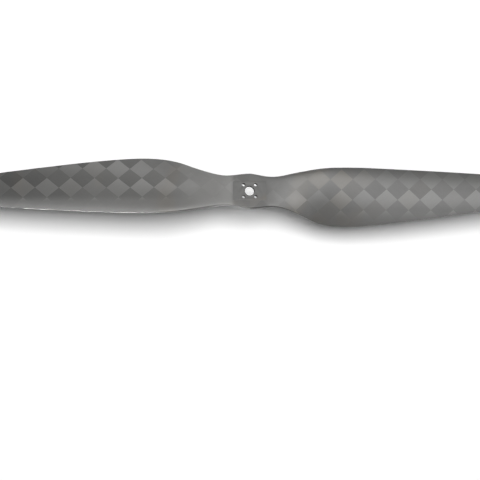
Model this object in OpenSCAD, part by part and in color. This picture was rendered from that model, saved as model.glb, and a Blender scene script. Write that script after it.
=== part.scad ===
// Two-blade carbon-fibre propeller for a large multirotor, moulded in one piece.
// The hub's lower seat face lies on z = 0 with the centre bore on the Z axis, +Z is the thrust side,
// and the right blade points along +X. Seen from above, the propeller turns counter-clockwise.
// Every laminated layer is a slab between two surfaces that share one grid of points, so that each
// layer meets its neighbours exactly.

/* [Propeller] */
// Diameter from tip to tip
diameter = 711.2; // [640:0.1:780]
// Distance that the blade angle would advance in one turn
pitch = 233.7; // [180:0.1:280]
// Camber of the blade section, as a share of its chord
camber = 0.045; // [0.02:0.005:0.06]
// Thickness of the trailing edge
trailing_edge_t = 0.6; // [0.5:0.05:1]

/* [Hub] */
// Thickness between the two seat faces
hub_t = 8; // [7:0.1:10]
// Diameter of the centre bore
bore_d = 10; // [6:0.1:12]
// Diameter of the bolt circle
bolt_circle_d = 18; // [17:0.1:19]
// Diameter of each bolt hole
bolt_hole_d = 3.2; // [2.5:0.1:3.6]
// Number of bolt holes
bolt_holes = 4; // [3:1:4]
// Length of a hub pad, along the blades
pad_l = 35.4; // [28:0.1:36]
// Width of a hub pad
pad_w = 20.6; // [18:0.1:24]
// Thickness of a hub pad
pad_t = 0.3; // [0.2:0.05:0.5]
// Radius of a hub pad's corners
pad_corner_r = 1.5; // [0.5:0.1:3]

/* [Laminate] */
// Thickness of each carbon skin
skin_t = 0.3; // [0.25:0.05:0.5]
// Thickness of each spar cap
cap_t = 0.3; // [0.3:0.05:0.6]

/* [Hidden] */

carbon_c = [0.20, 0.20, 0.19];
spar_c = [0.12, 0.12, 0.12];
laminate_c = [0.26, 0.26, 0.25];
foam_c = [0.93, 0.86, 0.66];
roving_c = [0.32, 0.31, 0.30];
resin_c = [0.42, 0.38, 0.31];
pad_c = [0.16, 0.16, 0.15];

PLAN_R = 355.6;               // tip radius that the plan below is drawn for
reach = diameter / 2 / PLAN_R;

// Plan of the right blade: [radius, leading edge ahead of the blade axis, trailing edge behind it]
PLAN = [
    [0, 18.5, 18.5], [8, 17.3, 17.9], [17, 15.6, 16.9], [26, 15.1, 16.5], [34, 15.9, 17.8],
    [42, 17.4, 19.9], [51, 18.9, 23.1], [60, 20.3, 26.8], [72, 22.1, 32.0], [86, 23.4, 35.5],
    [103, 23.9, 36.8], [125, 23.7, 36.2], [165, 22.1, 32.5], [212, 19.8, 26.8], [262, 16.8, 20.2],
    [310, 13.8, 14.2], [356, 11.0, 9.4]
];
// Greatest thickness of the section: [radius, thickness]
DEPTH = [[0, 7.4], [24, 7.4], [45, 7.7], [72, 7.0], [103, 6.2], [150, 4.9], [212, 3.8],
         [262, 3.1], [310, 2.4], [356, 1.5]];
// Radii of the grid's rows on one blade
ROWS = [0, 6, 12, 18, 24, 30, 36, 42, 48, 55, 63, 73, 86, 103, 125, 150, 180, 212, 245, 278,
        308, 330, 342, 349, 353, 355, 355.6];

COLS = 20;                    // panels across the section, closer together at its edges
HUB_ROW = 5;                  // the hub block ends on this row, and the blade cores begin
PLUG_ROW = 21;                // the blade core ends on this row, and the tip plug begins
TIP_ROW = 24;                 // beyond this row the two skins are bonded to each other
END_ROW = len(ROWS) - 1;
BOND_COL = 1;                 // the skins are bonded from the leading edge to this column
ROVING_COL = 4;               // the roving fills the nose to this column
CAP_COL = 5;                  // the spar caps begin on this column
CAP_SHARE = 7;                // columns that a cap spans along the blade

FLAT_R = 18;                  // the section is the hub's own inside this radius
BLADE_R = 90;                 // and the blade's own outside this one
TIP_ROUND = 20;               // length of the rounded tip
HUB_POWER = 10;               // how square the hub's edges are
LEAST = 0.4;                  // least share of its height that a layer leaves to the next
PROUD = 1;                    // how far a cutting tool runs past the faces
BORE_FN = 64;

mid_z = hub_t / 2;
half_hub = hub_t / 2 - pad_t;
advance = pitch / (2 * PI);

// ---- curves through the tables ----

// Index of the first entry of table t beyond v
function above(t, v, i = 1) = i >= len(t) - 1 || v < t[i][0] ? i : above(t, v, i + 1);

function slope(t, i, k) = let(a = max(i - 1, 0), b = min(i + 1, len(t) - 1))
    i == 0 ? 0 : (t[b][k] - t[a][k]) / (t[b][0] - t[a][0]);

// Smooth curve through column k of table t
function curve(t, v, k) =
    let(i = above(t, v), a = t[i - 1], b = t[i], h = b[0] - a[0], u = (v - a[0]) / h)
    a[k] * (1 + 2 * u) * pow(1 - u, 2) + slope(t, i - 1, k) * h * u * pow(1 - u, 2)
    + b[k] * (3 - 2 * u) * u * u - slope(t, i, k) * h * (1 - u) * u * u;

// 0 at radius a and inside it, 1 at b and outside it
function ease(a, b, v) = let(u = min(max((v - a) / (b - a), 0), 1)) u * u * (3 - 2 * u);

// ---- the section at radius r of the right blade ----

function blade_share(r) = ease(FLAT_R, BLADE_R, r);
function tip_share(r) = let(u = max((r - PLAN_R) / TIP_ROUND + 1, 0)) sqrt(max(1 - u * u, 0.02));
function leading(r) = curve(PLAN, r, 1) * tip_share(r);
function trailing(r) = curve(PLAN, r, 2) * tip_share(r);
function twist(r) = blade_share(r) * atan2(advance, max(r, 1) * reach);
function chord(r) = (leading(r) + trailing(r)) * reach / cos(twist(r));
function depth(r) = curve(DEPTH, r, 1) * (0.5 + tip_share(r) / 2) * half_hub / (DEPTH[0][1] / 2);

// Share of the chord, from the leading edge, at column j
function along(j) = (1 - cos(180 * j / COLS)) / 2;

// Height of the rounded rectangle that the hub is, and of the four-digit wing section
function hub_form(s) = pow(max(1 - pow(abs(2 * s - 1), HUB_POWER), 0), 1 / HUB_POWER);
function wing_form(s) =
    10 * (0.2969 * sqrt(s) - 0.1260 * s - 0.3516 * s * s + 0.2843 * pow(s, 3) - 0.1015 * pow(s, 4));

// Half the section's thickness, and the height of its mean line, at share s of the chord
function half(r, s) = let(w = blade_share(r))
    depth(r) / 2 * ((1 - w) * hub_form(s) + w * wing_form(s)) + w * trailing_edge_t / 2 * s;
function mean(r, s) = blade_share(r) * camber * chord(r) * 4 * s * (1 - s);

// ---- the layers, as heights from the mean line at row n and column j ----

// Last column that a core fills, and the last that a cap covers, step towards the nose from row to row
function core_end(n) = COLS - BOND_COL - min(max(n - HUB_ROW, 0), 2);
function cap_end(n) = max(COLS - CAP_COL - max(n - HUB_ROW, 0), CAP_COL + CAP_SHARE);

function outer(n, j) = half(ROWS[n], along(j));
function inner(n, j) =
    n < TIP_ROW && j > BOND_COL && j < core_end(n)
        ? max(outer(n, j) - skin_t, LEAST * outer(n, j)) : 0;
function core(n, j) =
    n < PLUG_ROW && j > CAP_COL && j < cap_end(n)
        ? max(inner(n, j) - cap_t, LEAST * inner(n, j)) : inner(n, j);

OUTER = 0;
INNER = 1;
CORE = 2;
function height(layer, n, j) = layer == OUTER ? outer(n, j) : layer == INNER ? inner(n, j) : core(n, j);

// Point of a layer on the right blade, above (side 1) or below (side -1) the mean line
function point(layer, side, n, j) =
    let(r = ROWS[n], s = along(j), b = twist(r),
        across = leading(r) * reach / cos(b) - s * chord(r),
        up = mean(r, s) + side * height(layer, n, j))
    [r * reach, across * cos(b) - up * sin(b), mid_z + across * sin(b) + up * cos(b)];

// Row n runs from -END_ROW at the left tip to END_ROW at the right one, and the left blade is the
// right one turned half a turn about the Z axis.
function place(layer, side, n, j) =
    n >= 0 ? point(layer, side, n, j)
           : let(p = point(layer, side, -n, COLS - j)) [-p[0], -p[1], p[2]];
function grid(layer, side, rows, cols) =
    [for (n = rows) [for (j = cols) place(layer, side, n, j)]];

// ---- a closed solid between two grids of points ----

function meet(a, b) = norm(a - b) < 1e-6;
function whole(f) = f[0] != f[1] && f[1] != f[2] && f[0] != f[2];

module slab(top, bottom) {
    rows = len(top);
    cols = len(top[0]);
    count = rows * cols;
    points = concat([for (row = top) each row], [for (row = bottom) each row]);
    // A bottom point that meets its top point is the same corner.
    function up(i, j) = i * cols + j;
    function down(i, j) = meet(top[i][j], bottom[i][j]) ? up(i, j) : count + up(i, j);
    function shut(f) = [for (c = f) if (down(floor(c / cols), c % cols) != c) c] == [];
    cells = [for (i = [0:rows - 2]) for (j = [0:cols - 2])
        each [[up(i, j), up(i + 1, j), up(i, j + 1)], [up(i + 1, j), up(i + 1, j + 1), up(i, j + 1)]]];
    open_cells = [for (f = cells) if (!shut(f)) f];
    rim = concat(
        [for (i = [0:rows - 2]) [[i, 0], [i + 1, 0]]],
        [for (j = [0:cols - 2]) [[rows - 1, j], [rows - 1, j + 1]]],
        [for (i = [rows - 1:-1:1]) [[i, cols - 1], [i - 1, cols - 1]]],
        [for (j = [cols - 1:-1:1]) [[0, j], [0, j - 1]]]);
    walls = [for (e = rim) let(
            a = up(e[0][0], e[0][1]), b = up(e[1][0], e[1][1]),
            c = down(e[1][0], e[1][1]), d = down(e[0][0], e[0][1]))
        each [[b, a, d], [b, d, c]]];
    floors = [for (f = open_cells) [for (c = [f[0], f[2], f[1]]) down(floor(c / cols), c % cols)]];
    polyhedron(points, [for (f = concat(open_cells, floors, walls)) if (whole(f)) f]);
}

// The solid between two layers, over a range of rows and of columns
module layer_slab(a, side_a, b, side_b, rows, cols) {
    slab(grid(a, side_a, rows, cols), grid(b, side_b, rows, cols));
}

// ---- parts ----

module bores(z0, z1) {
    translate([0, 0, z0]) cylinder(d = bore_d, h = z1 - z0, $fn = BORE_FN);
    for (i = [0:bolt_holes - 1])
        rotate([0, 0, (i + 0.5) * 360 / bolt_holes])
            translate([bolt_circle_d / 2, 0, z0])
                cylinder(d = bolt_hole_d, h = z1 - z0, $fn = BORE_FN);
}

module drilled() {
    difference() {
        children();
        bores(-PROUD, hub_t + PROUD);
    }
}

all_rows = [for (n = [-END_ROW:END_ROW]) n];
all_cols = [for (j = [0:COLS]) j];
hub_rows = [for (n = [-HUB_ROW:HUB_ROW]) n];
cap_rows = [for (n = [-PLUG_ROW:PLUG_ROW]) n];
cap_cols = [for (j = [CAP_COL:COLS - CAP_COL]) j];
right_rows = [for (n = [HUB_ROW:PLUG_ROW]) n];
left_rows = [for (n = [-PLUG_ROW:-HUB_ROW]) n];
foam_cols = [for (j = [ROVING_COL:COLS - BOND_COL]) j];
nose_cols = [for (j = [BOND_COL:ROVING_COL]) j];
function mirrored(cols) = [for (k = [len(cols) - 1:-1:0]) COLS - cols[k]];

// Spread-tow laminate over the whole thrust side, from tip to tip
module upper_skin() {
    color(carbon_c) drilled() layer_slab(OUTER, 1, INNER, 1, all_rows, all_cols);
}

// Spread-tow laminate over the whole underside
module lower_skin() {
    color(carbon_c) drilled() layer_slab(INNER, -1, OUTER, -1, all_rows, all_cols);
}

// Unidirectional carbon strips under the skins, straight through the hub
module upper_spar_cap() {
    color(spar_c) drilled() layer_slab(INNER, 1, CORE, 1, cap_rows, cap_cols);
}

module lower_spar_cap() {
    color(spar_c) drilled() layer_slab(CORE, -1, INNER, -1, cap_rows, cap_cols);
}

// Solid laminate that the motor's screws clamp
module hub_block() {
    color(laminate_c) drilled()
        layer_slab(CORE, 1, CORE, -1, hub_rows, [for (j = [BOND_COL:COLS - BOND_COL]) j]);
}

// Foam core of one blade
module blade_core(rows, cols) {
    color(foam_c) layer_slab(CORE, 1, CORE, -1, rows, cols);
}

module right_blade_core() {
    blade_core(right_rows, foam_cols);
}

module left_blade_core() {
    blade_core(left_rows, mirrored(foam_cols));
}

// Tow of carbon fibres laid along the nose of one blade
module leading_edge_roving(rows, cols) {
    color(roving_c) layer_slab(CORE, 1, CORE, -1, rows, cols);
}

module right_leading_edge_roving() {
    leading_edge_roving(right_rows, nose_cols);
}

module left_leading_edge_roving() {
    leading_edge_roving(left_rows, mirrored(nose_cols));
}

// Filled resin in the thin end of one blade, which also takes the balancing
module tip_plug(rows, cols) {
    color(resin_c) layer_slab(CORE, 1, CORE, -1, rows, cols);
}

module right_tip_plug() {
    tip_plug([for (n = [PLUG_ROW:TIP_ROW]) n], [for (j = [BOND_COL:COLS - BOND_COL]) j]);
}

module left_tip_plug() {
    tip_plug([for (n = [-TIP_ROW:-PLUG_ROW]) n], [for (j = [BOND_COL:COLS - BOND_COL]) j]);
}

// Pressed ply on a seat face of the hub
module hub_pad(z0) {
    color(pad_c) difference() {
        translate([0, 0, z0]) linear_extrude(pad_t) union() {
            square([pad_l - 2 * pad_corner_r, pad_w], center = true);
            square([pad_l, pad_w - 2 * pad_corner_r], center = true);
            for (x = [-1, 1], y = [-1, 1])
                translate([x * (pad_l / 2 - pad_corner_r), y * (pad_w / 2 - pad_corner_r)])
                    circle(r = pad_corner_r, $fn = BORE_FN);
        }
        bores(-PROUD, hub_t + PROUD);
    }
}

module upper_hub_pad() {
    hub_pad(hub_t - pad_t);
}

module lower_hub_pad() {
    hub_pad(0);
}

upper_skin();
lower_skin();
upper_spar_cap();
lower_spar_cap();
hub_block();
left_blade_core();
right_blade_core();
left_leading_edge_roving();
right_leading_edge_roving();
left_tip_plug();
right_tip_plug();
upper_hub_pad();
lower_hub_pad();
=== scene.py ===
"""Two-blade carbon-fibre propeller: the moulded laminate, the hub's bores and pads, and a white studio."""

import math

import bmesh
import bpy
import numpy as np
from mathutils import Matrix, Vector


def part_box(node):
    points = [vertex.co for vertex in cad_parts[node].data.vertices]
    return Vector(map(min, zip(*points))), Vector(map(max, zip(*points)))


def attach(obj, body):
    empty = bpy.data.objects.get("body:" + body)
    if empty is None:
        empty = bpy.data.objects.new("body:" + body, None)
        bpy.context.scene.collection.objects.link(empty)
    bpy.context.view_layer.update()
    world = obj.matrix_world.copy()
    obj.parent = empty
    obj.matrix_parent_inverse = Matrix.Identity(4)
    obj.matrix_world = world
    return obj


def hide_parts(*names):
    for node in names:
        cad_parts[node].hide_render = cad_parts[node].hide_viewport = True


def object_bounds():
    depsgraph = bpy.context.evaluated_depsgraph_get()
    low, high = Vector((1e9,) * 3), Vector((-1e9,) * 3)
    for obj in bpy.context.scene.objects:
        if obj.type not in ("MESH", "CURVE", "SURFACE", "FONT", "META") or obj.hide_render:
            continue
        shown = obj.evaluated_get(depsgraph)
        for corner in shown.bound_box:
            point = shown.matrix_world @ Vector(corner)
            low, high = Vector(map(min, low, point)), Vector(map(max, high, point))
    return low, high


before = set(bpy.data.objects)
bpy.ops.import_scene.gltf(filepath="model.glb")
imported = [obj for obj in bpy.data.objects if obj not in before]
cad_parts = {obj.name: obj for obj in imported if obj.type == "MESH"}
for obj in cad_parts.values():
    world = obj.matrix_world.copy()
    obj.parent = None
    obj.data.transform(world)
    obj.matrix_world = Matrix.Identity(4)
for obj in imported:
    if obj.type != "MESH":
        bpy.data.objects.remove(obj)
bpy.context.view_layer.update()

MM = 0.001

# ---- sizes taken from the CAD frame, in metres ----
skin_low, skin_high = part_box("upper_skin")
pad_low, pad_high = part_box("upper_hub_pad")
seat_low, seat_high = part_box("lower_hub_pad")

TIP = skin_high[0]                                  # tip radius
MID_Z = (seat_low[2] + pad_high[2]) / 2             # middle plane of the hub
PAD_T = pad_high[2] - pad_low[2]
HALF_HUB = MID_Z - seat_low[2] - PAD_T              # half the hub's thickness between the pads

# ---- the blade's own design values, in millimetres as in the part's source ----
PLAN_R = 355.6                                      # tip radius that the plan below is drawn for
PITCH = 233.7
CAMBER = 0.045                                      # as a share of the chord
EDGE_T = 0.6                                        # thickness of the trailing edge
SKIN_T = 0.3
# Plan of the right blade: [radius, leading edge ahead of the blade's axis, trailing edge behind it]
PLAN = [
    [0, 18.5, 18.5], [8, 17.3, 17.9], [17, 15.6, 16.9], [26, 15.1, 16.5], [34, 15.9, 17.8],
    [42, 17.4, 19.9], [51, 18.9, 23.1], [60, 20.3, 26.8], [72, 22.1, 32.0], [86, 23.4, 35.5],
    [103, 23.9, 36.8], [125, 23.7, 36.2], [165, 22.1, 32.5], [212, 19.8, 26.8], [262, 16.8, 20.2],
    [310, 13.8, 14.2], [356, 11.0, 9.4],
]
# Greatest thickness of the section: [radius, thickness]
DEPTH = [[0, 7.4], [24, 7.4], [45, 7.7], [72, 7.0], [103, 6.2], [150, 4.9], [212, 3.8],
         [262, 3.1], [310, 2.4], [356, 1.5]]
FLAT_R, BLADE_R = 18, 90                            # the hub's section ends, the blade's begins
TIP_ROUND = 20                                      # length of the rounded tip
TIP_LEAST = 0.02                                    # keeps the very tip from closing to a point
HUB_POWER = 10                                      # how square the hub's edges are
TIP_EDGE = 0.8                                      # length over which the tip's edge rounds off
TRAIL_SHARE = 0.005                                 # share of the chord that the trailing edge rounds over

ROW_STEP = 2.0                                      # spacing of the fine grid along the blade
TIP_ROWS = 28                                       # closer rows round the tip
COLS = 72                                           # panels across the section
SKIN_WELD = 0.5e-6                                  # points nearer than this are one, in metres

BORE_R = 5 * MM
BOLT_CIRCLE_R = 9 * MM
BOLT_R = 1.6 * MM
BOLTS = 4
BORE_SIDES = 96
CUT_PAST = 5 * MM                                   # how far the cutter runs past the hub's faces


# ---- the surface of the propeller ----

def curve(table, v, k):
    """Smooth curve through column k of a table, as the part's source draws it."""
    t = np.array(table, float)
    slopes = np.zeros(len(t))
    for i in range(1, len(t)):
        a, b = i - 1, min(i + 1, len(t) - 1)
        slopes[i] = (t[b, k] - t[a, k]) / (t[b, 0] - t[a, 0])
    i = np.clip(np.searchsorted(t[:, 0], v, side="right"), 1, len(t) - 1)
    h = t[i, 0] - t[i - 1, 0]
    u = (v - t[i - 1, 0]) / h
    start = t[i - 1, k] * (1 + 2 * u) * (1 - u) ** 2 + slopes[i - 1] * h * u * (1 - u) ** 2
    return start + t[i, k] * (3 - 2 * u) * u * u - slopes[i] * h * (1 - u) * u * u


def ease(a, b, v):
    u = np.clip((v - a) / (b - a), 0, 1)
    return u * u * (3 - 2 * u)


def rounded(start, end, v):
    """1 up to start, then a quarter of an ellipse down to 0 at end."""
    u = np.clip((v - start) / (end - start), 0, 1)
    return np.sqrt(1 - u * u)


def section(r):
    """The section at radii r: how far it is a blade's, leading edge, twist, chord and thickness, in mm."""
    blade = ease(FLAT_R, BLADE_R, r)
    tip = np.sqrt(np.maximum(1 - np.maximum((r - PLAN_R) / TIP_ROUND + 1, 0) ** 2, TIP_LEAST))
    lead = curve(PLAN, r, 1) * tip
    trail = curve(PLAN, r, 2) * tip
    twist = blade * np.arctan2(PITCH / (2 * math.pi), np.maximum(r, 1))
    chord = (lead + trail) / np.cos(twist)
    depth = curve(DEPTH, r, 1) * (0.5 + tip / 2) * (HALF_HUB / MM) / (DEPTH[0][1] / 2)
    depth = depth * rounded(PLAN_R - TIP_EDGE, PLAN_R, r)
    return blade, lead, twist, chord, depth


def half_height(blade, depth, s):
    """Half the section's thickness at share s of its chord: square at the hub, a wing further out."""
    hub = np.maximum(1 - np.abs(2 * s - 1) ** HUB_POWER, 0) ** (1 / HUB_POWER)
    wing = 0.2969 * np.sqrt(s) - 0.1260 * s - 0.3516 * s * s + 0.2843 * s**3 - 0.1015 * s**4
    whole = depth / 2 * ((1 - blade) * hub + blade * 10 * wing)
    thin = np.minimum(EDGE_T, depth) * blade / 2 * s
    return (whole + thin) * rounded(1 - TRAIL_SHARE, 1, s)


def surface(radii, shares, side, inside):
    """Points of the outer surface, or of the surface a skin's thickness inside it."""
    r, s = np.meshgrid(radii, shares, indexing="ij")
    blade, lead, twist, chord, depth = section(r)
    height = half_height(blade, depth, s)
    if inside:
        height = np.maximum(height - SKIN_T, 0)
    across = lead / np.cos(twist) - s * chord
    up = blade * CAMBER * chord * 4 * s * (1 - s) + side * height
    x = r * (TIP / MM) / PLAN_R
    y = across * np.cos(twist) - up * np.sin(twist)
    z = MID_Z / MM + across * np.sin(twist) + up * np.cos(twist)
    return np.stack([x, y, z], axis=-1) * MM


def both_blades(radii, shares, side, inside):
    """The right blade's grid, continued by the same grid turned half a turn about the Z axis."""
    right = surface(radii, shares, side, inside)
    left = right[:0:-1, ::-1] * np.array([-1, -1, 1])
    return np.concatenate([left, right])


def grid_faces(rows, cols, first, flip):
    """Quads over a grid of points whose numbers begin at first."""
    i, j = np.meshgrid(np.arange(rows - 1), np.arange(cols - 1), indexing="ij")
    a = first + i * cols + j
    quads = np.stack([a, a + cols, a + cols + 1, a + 1], axis=-1).reshape(-1, 4)
    return quads[:, ::-1] if flip else quads


def rim_faces(rows, cols, count):
    """Quads that join the edge of one grid to the edge of the next one, count points later."""
    ring = [(0, j) for j in range(cols)] + [(i, cols - 1) for i in range(1, rows)]
    ring += [(rows - 1, j) for j in range(cols - 2, -1, -1)] + [(i, 0) for i in range(rows - 2, 0, -1)]
    ids = [i * cols + j for i, j in ring]
    return [(a, b, b + count, a + count) for a, b in zip(ids, ids[1:] + ids[:1])]


def new_object(name, mesh):
    obj = bpy.data.objects.new(name, mesh)
    bpy.context.scene.collection.objects.link(obj)
    return obj


def skin_radii():
    """Even rows along the blade, closing up where its tip rounds off."""
    even = np.arange(0, PLAN_R - TIP_ROUND, ROW_STEP)
    ends = PLAN_R - TIP_ROUND * (1 - np.sin(np.linspace(0, math.pi / 2, TIP_ROWS)))
    return np.unique(np.concatenate([even, ends]))


def make_skin(name, side):
    """One moulded skin as a closed shell between the outer surface and the one inside it."""
    radii = skin_radii()
    shares = (1 - np.cos(np.linspace(0, math.pi, COLS + 1))) / 2
    outer = both_blades(radii, shares, side, False)
    inner = both_blades(radii, shares, side, True)
    rows, cols = outer.shape[:2]
    count = rows * cols
    points = np.concatenate([outer.reshape(-1, 3), inner.reshape(-1, 3)])
    faces = grid_faces(rows, cols, 0, side > 0).tolist() + grid_faces(rows, cols, count, side < 0).tolist()
    faces += rim_faces(rows, cols, count)
    mesh = bpy.data.meshes.new(name)
    mesh.from_pydata(points.tolist(), [], faces)
    bm = bmesh.new()
    bm.from_mesh(mesh)
    bmesh.ops.remove_doubles(bm, verts=bm.verts, dist=SKIN_WELD)
    bmesh.ops.recalc_face_normals(bm, faces=bm.faces)
    bm.to_mesh(mesh)
    bm.free()
    return new_object(name, mesh)


# ---- bores ----

def bolt_places():
    turns = [(i + 0.5) * 2 * math.pi / BOLTS for i in range(BOLTS)]
    return [(BOLT_CIRCLE_R * math.cos(a), BOLT_CIRCLE_R * math.sin(a)) for a in turns]


def bore_tool(low, high):
    """One cutter for the centre bore and the bolt holes, between two heights."""
    bm = bmesh.new()
    for x, y, radius in [(0, 0, BORE_R)] + [(x, y, BOLT_R) for x, y in bolt_places()]:
        place = Matrix.Translation((x, y, (low + high) / 2))
        bmesh.ops.create_cone(bm, cap_ends=True, segments=BORE_SIDES, radius1=radius, radius2=radius,
                              depth=high - low, matrix=place)
    mesh = bpy.data.meshes.new("bore_tool")
    bm.to_mesh(mesh)
    bm.free()
    return new_object("bore_tool", mesh)


def drill(obj):
    tool = bore_tool(seat_low[2] - CUT_PAST, pad_high[2] + CUT_PAST)
    cut = obj.modifiers.new("bores", "BOOLEAN")
    cut.operation = "DIFFERENCE"
    cut.solver = "EXACT"
    cut.object = tool
    obj.data = bpy.data.meshes.new_from_object(obj.evaluated_get(bpy.context.evaluated_depsgraph_get()))
    obj.modifiers.clear()
    bpy.data.objects.remove(tool)


def smooth(obj, degrees):
    obj.data.shade_smooth()
    obj.data.set_sharp_from_angle(angle=math.radians(degrees))


# ---- hub pads ----

PAD_CORNER = 1.5 * MM
PAD_BEVEL = 0.06 * MM
BEVEL_STEPS = 3
CORNER_STEPS = 12
BOLT_SIDES = 48
PAD_WELD = 1e-6


def closed_spline(data, points):
    spline = data.splines.new("POLY")
    spline.points.add(len(points) - 1)
    for point, (x, y) in zip(spline.points, points):
        point.co = (x, y, 0, 1)
    spline.use_cyclic_u = True


def circle(x, y, radius, steps):
    turns = [2 * math.pi * i / steps for i in range(steps)]
    return [(x + radius * math.cos(a), y + radius * math.sin(a)) for a in turns]


def rounded_rectangle(half_x, half_y, radius, steps):
    points = []
    for quarter, (sx, sy) in enumerate([(1, 1), (-1, 1), (-1, -1), (1, -1)]):
        for i in range(steps + 1):
            a = (quarter + i / steps) * math.pi / 2
            points.append((sx * (half_x - radius) + radius * math.cos(a),
                           sy * (half_y - radius) + radius * math.sin(a)))
    return points


def make_pad(name, low, high):
    """A pressed ply with a softened edge, drilled like the hub."""
    data = bpy.data.curves.new(name, "CURVE")
    data.dimensions = "2D"
    data.fill_mode = "BOTH"
    data.extrude = (high[2] - low[2]) / 2 - PAD_BEVEL
    data.bevel_depth = PAD_BEVEL
    data.bevel_resolution = BEVEL_STEPS
    data.offset = -PAD_BEVEL
    closed_spline(data, rounded_rectangle(high[0], high[1], PAD_CORNER, CORNER_STEPS))
    closed_spline(data, circle(0, 0, BORE_R, BORE_SIDES))
    for x, y in bolt_places():
        closed_spline(data, circle(x, y, BOLT_R, BOLT_SIDES))
    shape = bpy.data.objects.new(name + "_curve", data)
    bpy.context.scene.collection.objects.link(shape)
    mesh = bpy.data.meshes.new_from_object(shape.evaluated_get(bpy.context.evaluated_depsgraph_get()))
    bpy.data.objects.remove(shape)
    mesh.transform(Matrix.Translation((0, 0, (low[2] + high[2]) / 2)))
    bm = bmesh.new()
    bm.from_mesh(mesh)
    bmesh.ops.remove_doubles(bm, verts=bm.verts, dist=PAD_WELD)
    bmesh.ops.recalc_face_normals(bm, faces=bm.faces)
    bm.to_mesh(mesh)
    bm.free()
    return new_object(name, mesh)


# ---- materials ----

class Nodes:
    """A material's node tree, written as short expressions."""

    def __init__(self, name, roughness, specular=0.5):
        self.material = bpy.data.materials.new(name)
        self.material.use_nodes = True
        self.tree = self.material.node_tree
        self.shader = self.tree.nodes["Principled BSDF"]
        self.shader.inputs["Roughness"].default_value = roughness
        self.shader.inputs["Specular IOR Level"].default_value = specular

    def put(self, socket, value):
        """Link a socket to another one, or set it to a plain value."""
        if isinstance(value, bpy.types.NodeSocket):
            self.tree.links.new(value, socket)
        else:
            socket.default_value = value

    def math(self, operation, a, b=0.0):
        node = self.tree.nodes.new("ShaderNodeMath")
        node.operation = operation
        for socket, value in zip(node.inputs, (a, b)):
            self.put(socket, value)
        return node.outputs[0]

    def add(self, a, b):
        return self.math("ADD", a, b)

    def sub(self, a, b):
        return self.math("SUBTRACT", a, b)

    def times(self, a, b):
        return self.math("MULTIPLY", a, b)

    def ramp(self, value, low, high, out_low=0.0, out_high=1.0):
        """A smooth step from out_low to out_high while value goes from low to high."""
        node = self.tree.nodes.new("ShaderNodeMapRange")
        node.interpolation_type = "SMOOTHSTEP"
        limits = {"From Min": low, "From Max": high, "To Min": out_low, "To Max": out_high}
        for name, limit in limits.items():
            self.put(node.inputs[name], limit)
        self.put(node.inputs["Value"], value)
        return node.outputs["Result"]

    def mix(self, factor, a, b):
        """a where factor is 0 and b where it is 1, as numbers."""
        node = self.tree.nodes.new("ShaderNodeMix")
        node.data_type = "FLOAT"
        for socket, value in zip((node.inputs[0], node.inputs[2], node.inputs[3]), (factor, a, b)):
            self.put(socket, value)
        return node.outputs[0]

    def mix_colour(self, factor, a, b, blend="MIX"):
        node = self.tree.nodes.new("ShaderNodeMix")
        node.data_type = "RGBA"
        node.blend_type = blend
        for socket, value in zip((node.inputs[0], node.inputs[6], node.inputs[7]), (factor, a, b)):
            self.put(socket, value)
        return node.outputs[2]

    def place(self):
        """The x, y and z of the point, in metres in the part's frame."""
        coords = self.tree.nodes.new("ShaderNodeTexCoord")
        split = self.tree.nodes.new("ShaderNodeSeparateXYZ")
        self.tree.links.new(coords.outputs["Object"], split.inputs[0])
        return split.outputs

    def steepness(self):
        """1 where the surface is level, 0 where it stands upright."""
        geometry = self.tree.nodes.new("ShaderNodeNewGeometry")
        split = self.tree.nodes.new("ShaderNodeSeparateXYZ")
        self.tree.links.new(geometry.outputs["Normal"], split.inputs[0])
        return self.math("ABSOLUTE", split.outputs["Z"])

    def vector(self, x, y, z):
        node = self.tree.nodes.new("ShaderNodeCombineXYZ")
        for socket, value in zip(node.inputs, (x, y, z)):
            self.put(socket, value)
        return node.outputs[0]

    def noise(self, vector, scale, detail=2.0, roughness=0.5):
        node = self.tree.nodes.new("ShaderNodeTexNoise")
        node.inputs["Scale"].default_value = scale
        node.inputs["Detail"].default_value = detail
        node.inputs["Roughness"].default_value = roughness
        self.put(node.inputs["Vector"], vector)
        return node.outputs["Fac"]

    def random(self, vector):
        """A number from 0 to 1 that only depends on the vector."""
        node = self.tree.nodes.new("ShaderNodeTexWhiteNoise")
        node.noise_dimensions = "3D"
        self.put(node.inputs["Vector"], vector)
        return node.outputs["Value"]

    def grey(self, value, tint):
        """A grey of that strength, times a tint."""
        node = self.tree.nodes.new("ShaderNodeCombineColor")
        for socket, share in zip(node.inputs, tint):
            self.put(socket, self.times(value, share))
        return node.outputs[0]

    def bump(self, height, strength, distance):
        node = self.tree.nodes.new("ShaderNodeBump")
        node.inputs["Strength"].default_value = strength
        node.inputs["Distance"].default_value = distance
        self.put(node.inputs["Height"], height)
        self.tree.links.new(node.outputs[0], self.shader.inputs["Normal"])

    def colour(self, value):
        self.put(self.shader.inputs["Base Color"], value)

    def roughness(self, value):
        self.put(self.shader.inputs["Roughness"], value)


# The spread-tow cloth: its squares stand on their points, as it is laid at 45 degrees to the blade.
RIGHT_CELL, LEFT_CELL = 24.2 * MM, 24.9 * MM      # between light squares along each blade
CELL_Y = 21.1 * MM                                # and across it
RIGHT_START = (97.4 * MM, -9.6 * MM)              # centre of one light square on the right blade
LEFT_START = (-238.2 * MM, 3.6 * MM)              # and of one on the left blade
# Painted sheen: the step between light and dark squares stands in for fibres that run two ways catching the
# light differently.
LIGHT_TONE, DARK_TONE = 0.110, 0.074
MEAN_TONE = (LIGHT_TONE + DARK_TONE) / 2
HALF_STEP = (LIGHT_TONE - DARK_TONE) / 2
CLOTH_TINT = (1.0, 0.995, 0.965, 1.0)
WARM_TINT = (1.10, 1.0, 0.86, 1.0)
WANDER = 0.10                                     # how far the seams stray, in squares
FIBRE_TONE, CLOUD_TONE = 0.026, 0.016             # depth of the fibres' and the resin's unevenness

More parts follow.
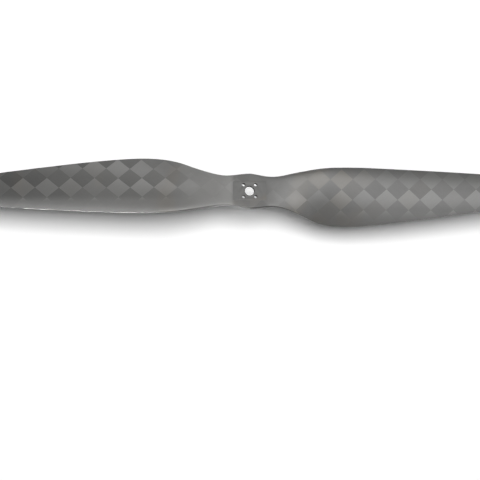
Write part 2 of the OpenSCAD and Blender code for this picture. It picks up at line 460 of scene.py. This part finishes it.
# Stretches over which the look changes, as distances from the hub's axis along the blade
HUB_SATIN = (15 * MM, 24 * MM)
NECK_START, NECK_END = (15 * MM, 21 * MM), (35 * MM, 90 * MM)
SQUARES_START, SQUARES_REST = (50 * MM, 120 * MM), (120 * MM, 230 * MM)
FIRST_START, FIRST_END = (38 * MM, 58 * MM), (60 * MM, 64 * MM)
EDGE_END = (60 * MM, 105 * MM)
LEFT_SHADE = (90 * MM, 275 * MM)
# The same across the blades, as stretches of y
LEFT_FRONT, LEFT_NOSE = (-12 * MM, -4 * MM), (-14 * MM, -11 * MM)
RIGHT_BACK, RIGHT_FRONT = (-28 * MM, -17 * MM), (0.0, 9 * MM)
FIRST_ACROSS = (-15 * MM, 1 * MM)
# The same by how level the surface is, from 0 for upright to 1 for level
UPRIGHT = (0.35, 0.8)

# Tones of hub, neck and blade as multiples of the cloth's, each pair for the left and the right blade:
# painted sheen and shade for how the light falls on each, not the cloth's own colour
HUB_TONE = 1.08
NECK_SHEEN_TONES, BLADE_SHADING_TONES = (1.80, 1.10), (1.30, 0.95)
OUTER_SHARE = 0.61                                # painted shade: what is left of the left blade's tone towards its tip
EDGE_SHADE = 0.75                                 # painted shade: what the hub's upright edge loses of its tone
LIGHT_ROUGHNESS, DARK_ROUGHNESS, NOSE_ROUGHNESS = 0.33, 0.41, 0.17


def cloth_squares(n, x, y, z, right, shift):
    """Which square a point is in, as i and j, and where in it, as fs and fq from -0.5 to 0.5."""
    u = n.sub(x, n.mix(right, LEFT_START[0] + shift, RIGHT_START[0] + shift))
    u = n.math("DIVIDE", u, n.mix(right, LEFT_CELL, RIGHT_CELL))
    v = n.math("DIVIDE", n.sub(y, n.mix(right, LEFT_START[1], RIGHT_START[1])), CELL_Y)
    wander = n.times(n.sub(n.noise(n.vector(x, y, z), 18.0, 1.0), 0.5), WANDER)
    s = n.add(n.add(u, v), wander)
    q = n.sub(n.sub(u, v), wander)
    i = n.math("FLOOR", n.add(s, 0.5))
    j = n.math("FLOOR", n.add(q, 0.5))
    return s, q, i, j, n.sub(s, i), n.sub(q, j)


def cloth_contrast(n, radius, y, right, dark):
    """How strongly the painted sheen of the squares shows: faintly in the neck's even tone, about 1 on the
    blades.
    """
    clear = n.ramp(radius, *SQUARES_START, 0.2, 1.0)
    clear = n.times(clear, n.ramp(radius, *SQUARES_REST, 1.0, n.mix(right, 1.25, 0.88)))
    # Painted sheen: the squares fade where the cloth turns over the nose and towards the right blade's
    # trailing edge, as the light falls there.
    fade_left = n.ramp(y, *LEFT_FRONT, 0.05, 1.0)
    fade_right = n.times(n.ramp(y, *RIGHT_BACK, 0.15, 0.85), n.ramp(y, *RIGHT_FRONT, 1.0, 0.45))
    clear = n.times(clear, n.mix(right, fade_left, fade_right))
    # Painted sheen: one light square stands out again where the right blade leaves the neck.
    first = n.times(n.ramp(radius, *FIRST_START), n.ramp(radius, *FIRST_END, 1.0, 0.0))
    first = n.times(first, n.times(right, n.ramp(y, *FIRST_ACROSS, 1.0, 0.0)))
    return n.add(clear, n.times(first, n.mix(dark, 1.5, 0.2)))


def cloth_detail(n, i, j, fs, fq, right, dark, reach):
    """What a point adds to the mean tone: its square's family (painted sheen) and own step, its painted
    crimp shade, rim and seam.
    """
    chance = n.random(n.vector(i, j, right))
    # Painted sheen: family sets a square light or dark by its fibres' direction.
    family = n.mix(dark, HALF_STEP, -HALF_STEP)
    step = n.times(n.sub(chance, 0.5), n.mix(dark, 0.030, 0.014))
    # Painted shade: each square is lighter towards one side, standing in for the light on the tows' crimp.
    crimp_shade = n.times(n.sub(fs, fq), n.mix(dark, 0.014, 0.006))
    rim = n.times(n.ramp(reach, 0.455, 0.495), n.mix(dark, 0.010, -0.004))
    seam = n.times(n.ramp(reach, 0.485, 0.498), 0.012)
    return n.sub(n.add(n.add(family, step), n.add(crimp_shade, rim)), seam)


def cloth_material(name, shift):
    """Spread-tow carbon cloth under satin resin. shift moves the squares along the blade."""
    n = Nodes(name, roughness=0.42)
    x, y, z = n.place()
    radius = n.math("ABSOLUTE", x)
    right = n.math("GREATER_THAN", x, 0.0)
    s, q, i, j, fs, fq = cloth_squares(n, x, y, z, right, shift)
    dark = n.math("FLOORED_MODULO", n.add(i, j), 2.0)
    reach = n.math("MAXIMUM", n.math("ABSOLUTE", fs), n.math("ABSOLUTE", fq))

    # Fibres run along s in a light square and along q in a dark one.
    across, along = n.mix(dark, q, s), n.mix(dark, s, q)
    fibres = n.noise(n.vector(n.times(across, 46.0), n.times(along, 1.6), dark), 1.0, 3.0, 0.6)
    cloud = n.noise(n.vector(x, y, z), 45.0, 3.0, 0.55)

    clear = cloth_contrast(n, radius, y, right, dark)
    detail = cloth_detail(n, i, j, fs, fq, right, dark, reach)
    tone = n.add(MEAN_TONE, n.times(detail, clear))
    tone = n.add(tone, n.times(n.sub(fibres, 0.5), FIBRE_TONE))
    tone = n.add(tone, n.times(n.sub(cloud, 0.5), CLOUD_TONE))
    # Painted sheen and shade: the neck lighter than the hub, the blades toned apart and the left blade
    # darker towards its tip.
    neck = n.mix(right, *NECK_SHEEN_TONES)
    tone = n.times(tone, n.mix(n.ramp(radius, *NECK_START), HUB_TONE, neck))
    blade = n.math("DIVIDE", n.mix(right, *BLADE_SHADING_TONES), neck)
    tone = n.times(tone, n.mix(n.ramp(radius, *NECK_END), 1.0, blade))
    tone = n.times(tone, n.mix(right, n.ramp(radius, *LEFT_SHADE, 1.0, OUTER_SHARE), 1.0))
    # Painted shade on the hub's upright edge, where the two skins meet round the hub; that edge is also
    # made matt.
    edge = n.times(n.ramp(n.steepness(), *UPRIGHT, 1.0, 0.0), n.ramp(radius, *EDGE_END, 1.0, 0.0))
    tone = n.times(tone, n.sub(1.0, n.times(edge, EDGE_SHADE)))

    # Some squares and patches are a little warmer than the rest.
    other = n.random(n.vector(j, i, n.add(right, 5.0)))
    share = n.times(n.mix(dark, 1.0, 0.3), n.mix(right, 0.3, 1.0))
    warm = n.times(n.ramp(other, 0.72, 0.95, 0.0, 0.55), share)
    patch = n.ramp(n.noise(n.vector(x, n.times(y, 0.4), z), 30.0, 1.0), 0.58, 0.72, 0.0, 0.35)
    tint = n.mix_colour(n.math("MAXIMUM", warm, patch), CLOTH_TINT, WARM_TINT)
    n.colour(n.mix_colour(1.0, n.grey(tone, (1.0, 1.0, 1.0)), tint, "MULTIPLY"))

    # Duller on the hub and its edge, and smooth where the resin gathers on the left blade's nose.
    hub = n.ramp(radius, *HUB_SATIN, 0.2, 0.0)
    gloss = n.add(n.mix(dark, LIGHT_ROUGHNESS, DARK_ROUGHNESS), n.times(fibres, 0.08))
    gloss = n.add(gloss, n.add(hub, n.times(edge, 0.4)))
    turned = n.ramp(n.steepness(), n.mix(dark, 0.84, 0.90), n.mix(dark, 0.95, 0.985), 1.0, 0.0)
    nose = n.times(n.times(n.sub(1.0, right), n.ramp(y, *LEFT_NOSE, 1.0, 0.0)), turned)
    n.roughness(n.mix(nose, gloss, NOSE_ROUGHNESS))
    n.bump(n.add(fibres, n.times(n.sub(0.5, reach), 2.0)), 0.08, 0.05 * MM)
    return n.material


def plain_material(name, tone, tint, roughness, scale, stretch, depth=0.3):
    """A procedural finish of one hue with its own grain. stretch squeezes the grain along x, y and z."""
    n = Nodes(name, roughness=roughness)
    x, y, z = n.place()
    squeezed = [n.times(c, k) for c, k in zip((x, y, z), stretch)]
    grain = n.noise(n.vector(*squeezed), scale, 4.0, 0.6)
    cloud = n.noise(n.vector(x, y, z), 60.0, 2.0)
    value = n.times(tone, n.add(1.0 - depth, n.times(n.add(grain, cloud), depth)))
    n.colour(n.grey(value, tint))
    n.roughness(n.add(roughness - 0.06, n.times(grain, 0.12)))
    n.bump(grain, 0.15, 0.04 * MM)
    return n.material


def laminate_material():
    """Cut edges of many plies, as fine level bands down the bores."""
    n = Nodes("hub_laminate", roughness=0.6, specular=0.2)
    x, y, z = n.place()
    ply = n.noise(n.vector(n.times(x, 12.0), n.times(y, 12.0), n.times(z, 9000.0)), 1.0, 1.0)
    cloud = n.noise(n.vector(x, y, z), 220.0, 2.0)
    n.colour(n.grey(n.add(n.add(0.020, n.times(ply, 0.035)), n.times(cloud, 0.012)), (1.0, 0.98, 0.95)))
    n.roughness(n.add(0.6, n.times(ply, 0.16)))
    n.bump(ply, 0.2, 0.03 * MM)
    return n.material


PAD_TONE = 0.096
PAD_WEAVE = 0.8 * MM


def pad_material():
    """Pressed peel-ply finish: a fine cross grain, a touch darker than the cloth round it."""
    n = Nodes("pad_ply", roughness=0.5)
    x, y, z = n.place()
    weft = n.math("SINE", n.times(x, 2 * math.pi / PAD_WEAVE))
    warp = n.math("SINE", n.times(y, 2 * math.pi / PAD_WEAVE))
    weave = n.times(weft, warp)
    cloud = n.noise(n.vector(x, y, z), 90.0, 3.0)
    value = n.add(n.add(PAD_TONE, n.times(weave, 0.006)), n.times(n.sub(cloud, 0.5), 0.05))
    warm = n.ramp(n.noise(n.vector(x, y, z), 55.0, 1.0), 0.5, 0.7, 0.0, 0.6)
    tint = n.mix_colour(warm, CLOTH_TINT, WARM_TINT)
    n.colour(n.mix_colour(1.0, n.grey(value, (1.0, 1.0, 1.0)), tint, "MULTIPLY"))
    n.roughness(n.add(0.46, n.times(cloud, 0.1)))
    n.bump(weave, 0.1, 0.02 * MM)
    return n.material


def give(obj, material):
    obj.data.materials.clear()
    obj.data.materials.append(material)


# ---- pieces ----

SKIN_SHARP, PAD_SHARP = 38, 30          # edges sharper than this many degrees stay sharp
LOWER_SHIFT = 7 * MM                    # the lower skin's squares don't line up with the upper one's

upper_laminate = make_skin("upper_laminate", 1)
lower_laminate = make_skin("lower_laminate", -1)
for skin, node, shift in ((upper_laminate, "upper_skin", 0.0), (lower_laminate, "lower_skin", LOWER_SHIFT)):
    drill(skin)
    smooth(skin, SKIN_SHARP)
    give(skin, cloth_material(node + "_cloth", shift))
    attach(skin, "root")
    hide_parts(node)

ply = pad_material()
upper_pad = make_pad("upper_pad", pad_low, pad_high)
lower_pad = make_pad("lower_pad", seat_low, seat_high)
for pad, node in ((upper_pad, "upper_hub_pad"), (lower_pad, "lower_hub_pad")):
    smooth(pad, PAD_SHARP)
    give(pad, ply)
    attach(pad, "root")
    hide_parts(node)

SPAR = plain_material("spar_carbon", 0.035, (1.0, 1.0, 1.0), 0.38, 1.0, (60.0, 5000.0, 5000.0))
FOAM = plain_material("core_foam", 0.62, (1.0, 0.93, 0.72), 0.8, 2200.0, (1.0, 1.0, 1.0), 0.15)
ROVING = plain_material("roving_carbon", 0.05, (1.0, 0.98, 0.96), 0.4, 1.0, (80.0, 4000.0, 4000.0))
RESIN = plain_material("filled_resin", 0.16, (1.0, 0.88, 0.68), 0.35, 1500.0, (1.0, 1.0, 1.0), 0.2)
LAMINATE = laminate_material()
INNER = [
    ("spar_cap", SPAR, "spar_carbon"), ("hub_block", LAMINATE, "hub_laminate"),
    ("blade_core", FOAM, "core_foam"), ("leading_edge_roving", ROVING, "roving_carbon"),
    ("tip_plug", RESIN, "filled_resin"),
]
# The inner pieces are the CAD's own nodes; left and right or upper and lower ones share a finish.
for word, material, slot_name in INNER:
    for name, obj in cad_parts.items():
        if word in name:
            give(obj, material)

# ---- studio ----

FLOOR_SIZE = 12.0
FLOOR_DROP = 50 * MM                    # how far the propeller is held clear of the paper
LIT_R = 13 * MM                         # round patch of paper seen through the bores that glows, painted light in place of the shade there
LIT_FADE = 1.25                         # the patch fades out up to this many times its radius
LIT_STRENGTH = 0.36
WORLD_STRENGTH = 0.22
floor_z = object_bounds()[0][2] - FLOOR_DROP


def make_floor(lit):
    """White paper below the part. lit is the middle of its glowing patch, painted light under the bores."""
    bm = bmesh.new()
    bmesh.ops.create_grid(bm, x_segments=1, y_segments=1, size=FLOOR_SIZE / 2,
                          matrix=Matrix.Translation((0, 0, floor_z)))
    mesh = bpy.data.meshes.new("floor")
    bm.to_mesh(mesh)
    bm.free()
    floor = new_object("floor", mesh)
    paper = Nodes("white_paper", roughness=0.9, specular=0.0)
    x, y, z = paper.place()
    fibre = paper.noise(paper.vector(x, y, z), 3.0)
    paper.colour(paper.grey(paper.add(0.86, paper.times(fibre, 0.02)), (1.0, 1.0, 1.0)))
    # Painted light: the paper glows in a round patch, lifting the shade seen through the bores.
    dx, dy = paper.sub(x, lit.x), paper.sub(y, lit.y)
    away = paper.math("SQRT", paper.add(paper.times(dx, dx), paper.times(dy, dy)))
    paper.shader.inputs["Emission Color"].default_value = (1.0, 1.0, 1.0, 1.0)
    glow = paper.ramp(away, LIT_R, LIT_R * LIT_FADE, LIT_STRENGTH, 0.0)
    paper.put(paper.shader.inputs["Emission Strength"], glow)
    give(floor, paper.material)


def area_light(name, place, target, width, height, power, gloss=True, diffuse=True, spread=180):
    data = bpy.data.lights.new(name, "AREA")
    data.shape = "RECTANGLE"
    data.size = width
    data.size_y = height
    data.energy = power
    data.spread = math.radians(spread)
    obj = bpy.data.objects.new(name, data)
    bpy.context.scene.collection.objects.link(obj)
    obj.location = place
    obj.rotation_euler = (Vector(target) - Vector(place)).to_track_quat("-Z", "Y").to_euler()
    obj.visible_glossy = gloss
    obj.visible_diffuse = diffuse


HUB = Vector((0, 0, MID_Z))


def overhead(tilt, distance, x=0.0):
    """A place above the hub, tilted by that many degrees from the vertical towards +Y, and moved by x."""
    a = math.radians(tilt)
    return Vector((x, distance * math.sin(a), distance * math.cos(a)))


NOSE_X = -0.42                          # the beam along the left blade's nose shines straight along +Y
NOSE_PLACE, NOSE_TARGET = (NOSE_X, -1.45, 0.11), (NOSE_X, 0, MID_Z)

area_light("key", overhead(3.6, 3.0), HUB, width=1.2, height=1.17, power=97.0, gloss=False)
area_light("front_gloss", overhead(-21, 2.3, 0.2), HUB, width=2.0, height=1.58, power=56.0, diffuse=False)
area_light("back_gloss", overhead(60, 2.2, 0.2), HUB, width=0.55, height=0.6, power=4.4, diffuse=False)
area_light("nose_gloss", NOSE_PLACE, NOSE_TARGET, width=0.5, height=0.26, power=1.9, diffuse=False,
           spread=18)

world = bpy.data.worlds.new("studio")
world.use_nodes = True
background = world.node_tree.nodes["Background"]
background.inputs["Color"].default_value = (1.0, 1.0, 1.0, 1.0)
background.inputs["Strength"].default_value = WORLD_STRENGTH
bpy.context.scene.world = world
bpy.context.scene.view_settings.view_transform = "Standard"

# ---- camera ----

DISTANCE = 2.019                        # from the hub to the camera
ELEVATION = math.radians(80.35)         # of the camera above the floor, seen from the hub
AZIMUTH = math.radians(237.0)           # of the camera round the Z axis, from +X towards +Y
AIM = Vector((-10.7 * MM, -52.0 * MM, MID_Z))
ROLL = math.radians(-0.19)
LENS = 143.0
CLIP_START = 0.1

toward = Vector((math.cos(ELEVATION) * math.cos(AZIMUTH), math.cos(ELEVATION) * math.sin(AZIMUTH),
                 math.sin(ELEVATION)))
camera = bpy.data.objects.new("camera", bpy.data.cameras.new("camera"))
bpy.context.scene.collection.objects.link(camera)
camera.data.lens = LENS
camera.data.clip_start = CLIP_START
camera.location = HUB + toward * DISTANCE
back = (camera.location - AIM).normalized()
up = Matrix.Rotation(ROLL, 3, back) @ Vector((0, back.z, -back.y)).normalized()
turn = Matrix((up.cross(back), up, back)).transposed()
camera.matrix_world = Matrix.Translation(camera.location) @ turn.to_4x4()
bpy.context.scene.camera = camera
# The lit patch lies where the camera's line through the hub meets the paper.
make_floor(-toward * (MID_Z - floor_z) / toward.z)
